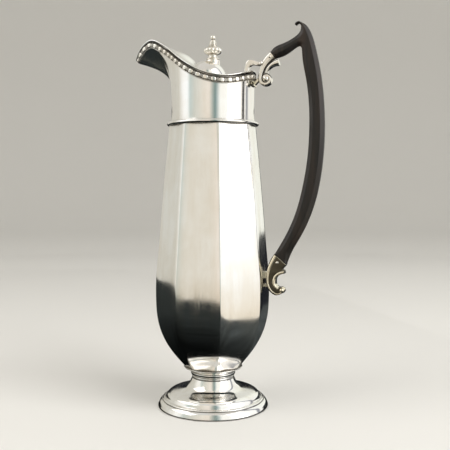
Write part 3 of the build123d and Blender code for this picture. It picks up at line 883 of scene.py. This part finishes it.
def make_lid():
    """Cover with closely spaced rings where the dome meets it, and a rounded edge."""
    rim = SHEET / 2
    rows = []
    for angle in angles_round(288):
        a = radians(angle)
        dome_edge = -DOME_X * cos(a) + sqrt(DOME_RADIUS ** 2 - (DOME_X * sin(a)) ** 2)
        edge = rim_radius(angle) - LID_INSET + LID_OVERHANG * lip_share(angle) - LID_EDGE
        start = 1.1 * dome_edge
        radii = [LID_HOLE + (0.8 * dome_edge - LID_HOLE) * k / 10 for k in range(10)]
        radii += [dome_edge * (0.8 + 0.3 * k / 24) for k in range(24)]
        radii += [start + (edge - start) * k / 24 for k in range(25)]
        row = [lid_point(angle, r) for r in radii]
        for t in (22, 45, 67, 90, 113, 135, 158):
            row.append(lid_point(angle, edge + LID_EDGE * sin(radians(t)), 0.0, rim - rim * cos(radians(t))))
        rows.append(row + [lid_point(angle, r, SHEET) for r in radii[::-1]])
    make_piece("lid_cover", Shape().loop(rows), SILVER, LID, "lid")


def make_finial():
    """Turned and chased knob: bell base, collar, lobed knop, ribbed cone and ball."""
    top = node_box("finial")[1].z
    foot = 293.2
    bell = through([(6.0, foot), (5.9, 295.6), (5.6, 296.6)], 0.3)
    collar = through([(5.2, 297.0), (5.6, 297.6), (5.2, 298.3), (4.2, 298.5)], 0.15)
    waist = through([(4.1, 298.6), (3.75, 299.6), (4.0, 301.0), (4.6, KNOP[0])], 0.2)
    knop = through([(4.9, KNOP[0]), (6.9, 302.7), (7.9, 304.3), (7.0, 306.3), (4.6, KNOP[1])], 0.2)
    cone = through([(3.9, CONE[0]), (3.5, 309.5), (2.9, 311.6), (2.2, CONE[1])], 0.14)
    ball = []
    for k in range(13):
        a = radians(-62 + 152 * k / 12)
        ball.append((2.3 * cos(a), top - 2.3 + 2.3 * sin(a)))

    def chased(a, z):
        if KNOP[0] < z < KNOP[1]:
            swell = sin(pi * (z - KNOP[0]) / (KNOP[1] - KNOP[0])) ** 0.6
            return 1 - 0.13 * swell * (1 - abs(cos(0.5 * KNOP_LOBES * (a - KNOP_TURN))) ** 0.6)
        if CONE[0] < z < CONE[1]:
            return 1 + 0.06 * sin(2 * pi * (z - CONE[0]) / CONE_RIB + a)
        return 1.0

    rows = []
    for k in range(216):
        a = 2 * pi * k / 216
        row = []
        for r, z in [(0.0, foot)] + bell + collar + waist + knop + cone + ball:
            x = r * chased(a, z) * cos(a)
            y = r * chased(a, z) * sin(a)
            row.append((x, y, min(z, dome_height(x, y, 0) - 0.15) if z == foot else z))
        rows.append(row)
    make_piece("finial_knob", Shape().grid(rows, close_rows=True), SILVER_CAST, LID, "finial")


# ---- Hinge ----
def make_hinge_arm():
    lid_top = lid_height(29.8, 0, 0) - 0.3
    crest = [(28.2, lid_top), (28.0, 288.2), (29.0, 292.6), (31.2, 295.3), (34.8, 295.3), (38.6, 293.9)]
    belly = [(38.4, 290.6), (34.6, 291.1), (32.6, 289.6), (31.8, 286.0), (32.0, lid_top)]
    outline = through(crest + [(HINGE.x, HINGE.z + 1.3)], 0.6)
    outline += through([(HINGE.x, HINGE.z - 1.2)] + belly, 0.6)
    edge = round_steps(1.2, KNUCKLE_HALF)
    shape = plate(outline, lambda z: KNUCKLE_HALF - 0.1, edge, 1.2, share=0.45, blur=2)
    shape.join(barrel(HINGE.x, HINGE.z, knuckle_profile(-KNUCKLE_HALF, KNUCKLE_HALF), bored=True))
    make_piece("lid_bridge", shape, SILVER_CAST, LID, "hinge_arm")


def knuckle_profile(start, end):
    """Turned knuckle with eased edges, bored for the pin."""
    ease = 0.25
    radius = KNUCKLE_RADIUS
    bore = PIN_RADIUS + PIN_CLEARANCE
    outside = [(radius - ease, start), (radius, start + ease), (radius, end - ease), (radius - ease, end)]
    return [(bore, start)] + outside + [(bore, end)]


def make_pin():
    ends = PIN_HIGH.y
    head = PIN_HIGH.x - HINGE.x
    profile = [(0.0, -ends), (0.6, -ends), (head, 0.4 - ends), (head, 0.5 - ends), (PIN_RADIUS, 0.5 - ends)]
    profile += [(r, -y) for r, y in reversed(profile)]
    make_piece("hinge_rod", barrel(HINGE.x, HINGE.z, profile, 32), SILVER_CAST, JUG, "hinge_pin")


# ---- Scroll sockets ----
def box_shape(low, high):
    x1, y1, z1 = low
    x2, y2, z2 = high
    corners = [(x1, y1), (x2, y1), (x2, y2), (x1, y2)]
    return Shape().tube([[(x, y, z) for x, y in corners] for z in (z1, z2)])


def cut(shape, cutter):
    """The shape with another closed shape taken away from it."""
    target, tool = (add_object("cut", build_mesh("cut", source, 1, 1e-5)) for source in (shape, cutter))
    modifier = target.modifiers.new("cut", "BOOLEAN")
    modifier.operation = "DIFFERENCE"
    modifier.solver = "EXACT"
    modifier.object = tool
    graph = bpy.context.evaluated_depsgraph_get()
    result = bpy.data.meshes.new_from_object(target.evaluated_get(graph))
    for thing in (target, tool):
        bpy.data.objects.remove(thing)
    return Shape().add([tuple(v.co) for v in result.vertices], [tuple(p.vertices) for p in result.polygons])


def make_upper_socket():
    high, low = UPPER_JOINT
    middle = (high + low) / 2
    heart = Vector((46.6, 278.8))
    spine = [
        (middle.x, middle.y, 6.5, 4.7), (48.9, 295.8, 6.1, 4.7), (45.9, 292.4, 5.4, 4.6),
        (43.6, 288.0, 4.3, 4.4), (42.2, 283.4, 3.7, 4.4),
    ]
    for k in range(1, 13):
        a = radians(165 + 30 * k)
        radius = 5.0 - 0.24 * k
        spine.append((heart.x + radius * cos(a), heart.y + radius * sin(a), 3.5 - 0.14 * k, 4.5 + 0.03 * k))
    room = KNUCKLE_HALF + KNUCKLE_GAP
    reach = KNUCKLE_RADIUS + KNUCKLE_GAP
    clearance = rod(HINGE.x, HINGE.z, reach, room)
    swing = box_shape((HINGE.x - 7, -room, HINGE.z), (HINGE.x + 2.9, room, HINGE.z + 5.0))
    shape = cut(cut(ribbon(through(spine, 0.45)), clearance), swing)
    ground = 3.9
    make_piece("volute_ground", rod(heart.x, heart.y, 4.6, ground), SILVER_SHADED, JUG, "upper_socket")
    leaf = through([
        (46.2, 282.6, 2.6, 3.4), (47.2, 286.0, 2.6, 3.6), (49.6, 289.0, 3.0, 3.9), (53.0, 291.2, 4.0, 4.2),
        (57.1, 292.4, 5.4, 4.5),
    ], 0.4)
    shape.join(ribbon(leaf, 0.7))
    ends = knuckle_profile(room, KNUCKLE_OUTER)
    for side in (-1, 1):
        shape.join(dome_cap(heart.x, heart.y, ground, 2.6, 2.1, side))
        shape.join(barrel(HINGE.x, HINGE.z, [(r, side * y) for r, y in ends], bored=True))
    make_piece("upper_scroll", shape, SILVER_CAST, JUG, "upper_socket")


def make_lower_socket():
    high, low = LOWER_JOINT
    back = through([
        tuple(high), (50.9, 127.8), (48.6, 121.0), (47.3, 113.0), (48.3, 105.0), (51.6, 100.2), (55.3, 98.2),
        (60.7, 99.9),
    ], 0.6)
    inside = through([(60.7, 105.0), (57.0, 105.4), (55.2, 109.6), (56.4, 114.2), (62.7, 116.9)], 0.6)
    horn = through([(62.9, 118.4), (61.2, 120.2), (62.6, 121.8), tuple(low)], 0.6)
    half = 4.3
    ground = plate(back + inside + horn, lambda z: half, round_steps(0.8, half), 0.8, share=0.3, blur=2)
    # The scroll's ground takes the near-black olive silver: painted shade.
    make_piece("lower_scroll_ground", ground, SILVER_SHADED_OLIVE, JUG, "lower_socket")
    shape = Shape()
    outer_band = [(x + width / 2, z, width, 4.9) for x, z, width in through([
        (53.6, 131.4, 3.6), (50.3, 125.4, 3.7), (47.9, 118.4, 3.1), (47.4, 111.6, 2.5),
        (48.8, 105.0, 2.1), (52.2, 100.9, 1.9), (56.3, 99.3, 1.8), (59.5, 100.4, 1.8),
    ], 0.5)]
    inner_band = [(x, z, 3.0, 5.0) for x, z in through([
        (62.6, 118.0), (58.2, 116.6), (55.0, 113.6), (54.0, 109.6), (54.9, 105.8), (57.6, 103.6),
    ], 0.5)]
    into = Vector((low.y - high.y, high.x - low.x)).normalized() * 0.5
    mouth = [(point.x + into.x, point.y + into.y, 0.9, 4.75) for point in (high, high.lerp(low, 0.5), low)]
    for spine in (outer_band, inner_band, mouth):
        shape.join(ribbon(spine, 0.6))
    bulb = [(2.75 * cos(radians(a)) ** 0.8, 5.5 * sin(radians(a))) for a in range(-90, 91, 10)]
    shape.join(barrel(60.7, 102.5, bulb))
    make_piece("lower_scroll_ridges", shape, SILVER_WARM, JUG, "lower_socket")


def make_rivets():
    for name in ("upper_socket_rivet", "lower_socket_rivet"):
        low, high = node_box(name)
        centre = (low + high) / 2
        face = 4.6 if name.startswith("upper") else 4.2
        shape = Shape()
        for side in (-1, 1):
            shape.join(dome_cap(centre.x, centre.z, face, 1.35, 0.9, side))
        make_piece(name.replace("socket_rivet", "rivet_heads"), shape, SILVER_CAST, JUG, name)


# ---- Ebony handle ----
def make_handle():
    top_start, top_low = UPPER_JOINT
    foot_inner, foot_outer = LOWER_JOINT
    crest = through([
        tuple(top_start), (52.9, 304.2), (60.0, 307.4), (70.2, 312.4), (74.9, 317.4), (75.4, 321.6),
    ], 0.7)
    curl = through([
        (75.4, 321.6), (73.4, 323.2), (71.6, 321.9), (70.3, 322.8), (71.2, 324.4), (73.8, 325.2),
    ], 0.3)
    back = through([
        (73.8, 325.2), (79.6, 321.5), (84.0, 314.4), (88.0, 301.0), (91.8, 282.8), (94.6, 259.0),
        (95.38, 236.0), (94.3, 213.0), (90.6, 188.0), (84.6, 167.0), (75.6, 147.5), (67.6, 133.0),
        tuple(foot_outer),
    ], 1.2)
    front = through([
        tuple(foot_inner), (62.4, 146.6), (71.0, 165.4), (77.2, 188.0), (81.2, 212.0), (82.7, 236.0),
        (82.1, 260.0), (79.6, 279.0), (77.0, 293.0), (76.2, 302.6),
    ], 1.2)
    crook = through([(76.2, 302.6), (74.6, 304.9), (70.8, 303.6), (61.3, 297.8), tuple(top_low)], 0.7)
    outline = crest[:-1] + curl[:-1] + back + front[:-1] + crook
    half = smooth_curve([(120, 4.6), (150, 5.2), (200, 5.8), (250, 5.8), (290, 5.0), (312, 4.0), (328, 2.6)])
    chamfer = [
        (0, 0), (0, 0.36), (0.03, 0.43), (0.10, 0.49), (0.5, 0.70), (0.86, 0.90), (0.95, 0.95),
        (1.0, 0.965), (1.25, 1.0),
    ]
    foot_end = len(crest) + len(curl) + len(back) - 3
    ends = {0, len(outline) - 1, foot_end, foot_end + 1}
    shape = plate(outline, half, chamfer, 3.3, share=0.34, blur=5, fixed=ends)
    make_piece("ebony_grip", shape, EBONY, JUG, "handle", crease=20)


# ---- Plain carried-over nodes ----
def finish_cad_nodes():
    """The small and hidden CAD pieces keep their shape and get the silver's finish."""
    for name, material in (
        ("body_floor", SILVER_INNER), ("lid_bezel", SILVER), ("finial_washer", SILVER_INNER),
        ("finial_nut", SILVER_CAST), ("lower_pads", SILVER_WARM),
    ):
        node = frame["nodes"][name]
        node.data.materials.clear()
        node.data.materials.append(material)


# ---- What the silver mirrors ----
CARD_DISTANCE = 1500.0
CARD_HEIGHTS = (-900.0, 2600.0)
BACKDROPS = [               # name, bearings and heights of the dark cloth behind the jug
    ("backdrop", (158, 206), (-400.0, 420.0)),
    ("backdrop_low", (113, 158), (-900.0, 100.0)),
]
BACKDROP_FOLDS = [(0.35, (0.006, 0.006, 0.008)), (0.7, (0.020, 0.022, 0.027))]
SOFTBOXES = [               # name, bearings, heights and brightness of the lights that the silver mirrors
    ("softbox_right", (42, 80), (260.0, 2500.0), 2.5),
    ("softbox_left", (-112, -48), (900.0, 2500.0), 1.7),
]
WARM_HEIGHTS = (-0.30, 0.12)     # the pale cards are warmest at the first and plain at the second
WARM_TINT = (0.85, 0.79, 0.70)
TABLE_REACH = [             # (bearing in degrees, how far the dark cloth reaches)
    (-180, 950), (-118, 1180), (-60, 720), (-28, 600), (10, 450), (62, 265), (110, 360), (152, 520),
    (180, 950),
]
CLOTH_DARK = (0.027, 0.032, 0.031)  # the cloth under the jug, at its left and at its right
CLOTH_PALE = (0.080, 0.089, 0.088)
SURROUND = [                # (bearing in degrees, colour of the pale cards round the jug)
    (-180, (0.58, 0.57, 0.52)), (-108, (0.64, 0.63, 0.57)), (-86, (1.00, 1.00, 0.97)),
    (-72, (1.00, 1.02, 1.00)), (-64, (0.57, 0.65, 0.63)), (-50, (0.66, 0.67, 0.61)),
    (-25, (0.80, 0.75, 0.66)), (-9, (0.87, 0.80, 0.71)), (0, (0.42, 0.46, 0.42)),
    (7, (0.18, 0.27, 0.26)), (13, (0.50, 0.58, 0.58)), (20, (1.05, 1.06, 1.02)),
    (101, (1.06, 1.05, 1.02)), (104, (0.30, 0.31, 0.34)), (110, (0.30, 0.31, 0.34)),
    (114, (0.97, 0.97, 0.93)), (158, (0.92, 0.93, 0.84)), (180, (0.58, 0.57, 0.52)),
]


# ---- Stage, light and camera ----
CAMERA_AZIMUTH = 14.6       # the handle points this far towards the camera
CAMERA_DISTANCE = 602.0
CAMERA_HEIGHT = 188.0
CAMERA_SIDE = 10.3
CAMERA_PITCH = 3.0
CAMERA_LENS = 56.0
FLOOR_COLOUR = (0.78, 0.77, 0.745)
WORLD_COLOUR = (0.80, 0.785, 0.745)
WORLD_STRENGTH = 0.85
LIGHT_AIM = Vector((0, 0, 0.16))
LIGHTS = [                  # name, place as for seen(), size, watts and colour
    ("key", (900, -700, 1300), 0.9, 16.0, (1.0, 0.99, 0.97)),
    ("fill", (-1100, -500, 1000), 1.0, 8.0, (1.0, 0.97, 0.92)),
]


def seen(right, away, height):
    """Place in metres of a point given in millimetres from the camera's side."""
    a = radians(CAMERA_AZIMUTH)
    return Vector((right * cos(a) - away * sin(a), right * sin(a) + away * cos(a), height)) * MM


def seen_round(bearing, distance, height):
    """seen() for a bearing in degrees round the jug, 0 towards the camera and positive to its right."""
    b = radians(bearing)
    return seen(distance * sin(b), -distance * cos(b), height)


def make_camera():
    data = bpy.data.cameras.new("camera")
    data.lens = CAMERA_LENS
    data.clip_start = 0.01
    camera = add_object("camera", data)
    camera.location = seen(CAMERA_SIDE, -CAMERA_DISTANCE, CAMERA_HEIGHT)
    camera.rotation_euler = (radians(90 - CAMERA_PITCH), 0, radians(CAMERA_AZIMUTH))
    bpy.context.scene.camera = camera


def make_floor():
    """Plain pale sweep: a round floor that curves up into a wall far away on every side."""
    flat, bend, wall = 2400.0, 1000.0, 3600.0
    profile = [(0.0, 0.0), (0.5 * flat, 0.0), (flat, 0.0)]
    for k in range(1, 13):
        a = radians(90 * k / 12)
        profile.append((flat + bend * sin(a), bend - bend * cos(a)))
    profile.append((flat + bend, wall))
    mesh = new_mesh("floor", Shape().grid(spun(profile, 96), close_rows=True), MM)
    mesh.shade_smooth()
    paper, shader = new_material("floor_paper")
    set_node(shader, {"Base Color": FLOOR_COLOUR, "Roughness": 0.9})
    mesh.materials.append(paper)
    floor = add_object("floor", mesh)
    floor.visible_glossy = False


def reflection_card(name, shape):
    """A card seen only in the silver's reflections, as a studio flag or panel is."""
    mesh = new_mesh(name, shape)
    material, glow = new_material(name, "ShaderNodeEmission")
    mesh.materials.append(material)
    card = add_object(name, mesh)
    for rays in ("camera", "diffuse", "shadow", "transmission"):
        setattr(card, "visible_" + rays, False)
    return material.node_tree, glow


def upright_card(name, bearings, heights, distance):
    """Curved card round the jug between two bearings."""
    start, end = bearings
    steps = round((end - start) / 4)
    stops = [start + (end - start) * k / steps for k in range(steps + 1)]
    rows = [[seen_round(bearing, distance, height) for bearing in stops] for height in heights]
    return reflection_card(name, Shape().grid(rows))


def make_table_card():
    """Dark cloth under the jug: paler further out and to the right, with faint streaks."""
    reach = smooth_curve(TABLE_REACH)
    edge = [seen_round(bearing, reach(bearing), 0.6) for bearing in range(-180, 180, 3)]
    tree, glow = reflection_card("table_reflection", Shape().add(edge, [tuple(range(len(edge)))]))
    place = stretched(tree, turn=(0, 0, -radians(CAMERA_AZIMUTH)))
    right = add_node(tree, "ShaderNodeSeparateXYZ", "X", {"Vector": place})
    away = add_node(tree, "ShaderNodeVectorMath", "Value", {"operation": "LENGTH", 0: place})
    outward = remap(tree, combine(tree, away, multiply(tree, right, 0.55)), 0.05, 0.19, 0.12, 1.0)
    streaks = remap(tree, noise_at(tree, stretched(tree, (9, 60, 1))), 0.35, 0.65, 0.6, 1.15)
    set_node(glow, {
        "Color": blend_colours(tree, remap(tree, right, -0.02, 0.18), CLOTH_DARK, CLOTH_PALE),
        "Strength": multiply(tree, outward, streaks),
    })


def make_surround():
    """Pale cards all round the jug, warmer low down, with the softboxes and the dark backdrop."""
    tree, glow = upright_card("surround_reflection", (-180, 180), CARD_HEIGHTS, CARD_DISTANCE)
    place = stretched(tree, turn=(0, 0, radians(90 - CAMERA_AZIMUTH)))
    bearing = add_node(tree, "ShaderNodeTexGradient", "Fac", {"gradient_type": "RADIAL", "Vector": place})
    colour = ramp(tree, bearing, [((b + 180) / 360, shade) for b, shade in SURROUND])
    height = add_node(tree, "ShaderNodeSeparateXYZ", "Z", {"Vector": stretched(tree)})
    tint = blend_colours(tree, remap(tree, height, *WARM_HEIGHTS, 1.0, 0.0), (1.0, 1.0, 1.0), WARM_TINT)
    tinted = {"operation": "MULTIPLY", 0: colour, 1: tint}
    set_node(glow, {"Color": add_node(tree, "ShaderNodeVectorMath", "Vector", tinted)})
    for name, bearings, heights, brightness in SOFTBOXES:
        tree, glow = upright_card(name, bearings, heights, 0.96 * CARD_DISTANCE)
        cloth = noise_at(tree, stretched(tree))
        set_node(glow, {"Strength": remap(tree, cloth, 0.3, 0.7, 0.95 * brightness, brightness)})
    for name, bearings, heights in BACKDROPS:
        tree, glow = upright_card(name, bearings, heights, 0.97 * CARD_DISTANCE)
        cloth = noise_at(tree, stretched(tree, (3, 3, 0.6)))
        set_node(glow, {"Color": ramp(tree, cloth, BACKDROP_FOLDS)})


def make_light():
    world = bpy.data.worlds.new("studio")
    bpy.context.scene.world = world
    world.use_nodes = True
    set_node(world.node_tree.nodes["Background"], {"Color": WORLD_COLOUR, "Strength": WORLD_STRENGTH})
    for name, place, size, power, colour in LIGHTS:
        data = bpy.data.lights.new(name, "AREA")
        data.shape = "SQUARE"
        data.size = size
        data.energy = power
        data.color = colour
        light = add_object(name, data)
        light.location = seen(*place)
        light.rotation_euler = (LIGHT_AIM - light.location).to_track_quat("-Z", "Y").to_euler()
        light.visible_camera = False
        light.visible_glossy = False
    bpy.context.scene.view_settings.view_transform = "Standard"


make_foot_wire()
make_foot()
make_stem_rings()
make_cup()
make_body()
make_girdle()
make_neck()
make_border()
make_bracket()
make_lid()
make_finial()
make_hinge_arm()
make_pin()
make_upper_socket()
make_lower_socket()
make_rivets()
make_handle()
finish_cad_nodes()
make_camera()
make_floor()
make_table_card()
make_surround()
make_light()
